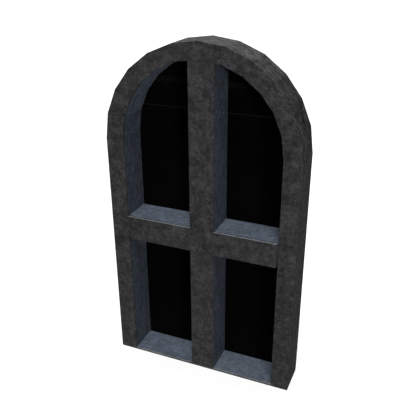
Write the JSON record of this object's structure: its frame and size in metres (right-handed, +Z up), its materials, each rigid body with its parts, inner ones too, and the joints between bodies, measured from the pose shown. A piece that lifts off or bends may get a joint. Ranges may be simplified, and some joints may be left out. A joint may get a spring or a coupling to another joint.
{
  "type": "round-headed stone mullion window",
  "caption": "Upright dark stone window under a round head of straight-sided stones, with a mullion, a transom, clear blue-tinted glass near its face and black panels in its back.",
  "frame": {"origin": "under the middle of the foot: the middle of the width and of the depth, on the bed", "axes": "+Z up, +X along the wall to the right as seen from the front, +Y into the wall"},
  "size_m": [1, 0.179, 1.772],
  "materials": {
    "stone": "rubbed, matt",
    "glass": "clear, pale blue",
    "panel": "matt black",
    "mortar": "rough lime mortar"
  },
  "bodies": {
    "root": {"arch_stone_01": "stone", "arch_stone_02": "stone", "arch_stone_03": "stone", "arch_stone_04": "stone", "arch_stone_05": "stone", "arch_stone_06": "stone", "arch_stone_07": "stone", "arch_stone_08": "stone", "arch_stone_09": "stone", "arch_stone_10": "stone", "arch_stone_11": "stone", "arch_stone_12": "stone", "left_jamb_lower": "stone", "left_jamb_middle": "stone", "left_jamb_upper": "stone", "right_jamb_lower": "stone", "right_jamb_middle": "stone", "right_jamb_upper": "stone", "sill": "stone", "transom": "stone", "mullion_lower": "stone", "mullion_upper": "stone", "glass_lower_left": "glass", "glass_lower_right": "glass", "glass_upper_left": "glass", "glass_upper_right": "glass", "glass_upper_left_head": "glass", "glass_upper_right_head": "glass", "glass_slip": "glass", "back_panel_lower_left": "panel", "back_panel_lower_right": "panel", "back_panel_upper_left": "panel", "back_panel_upper_right": "panel", "mullion_mortar": "mortar"}
  },
  "joints": []
}
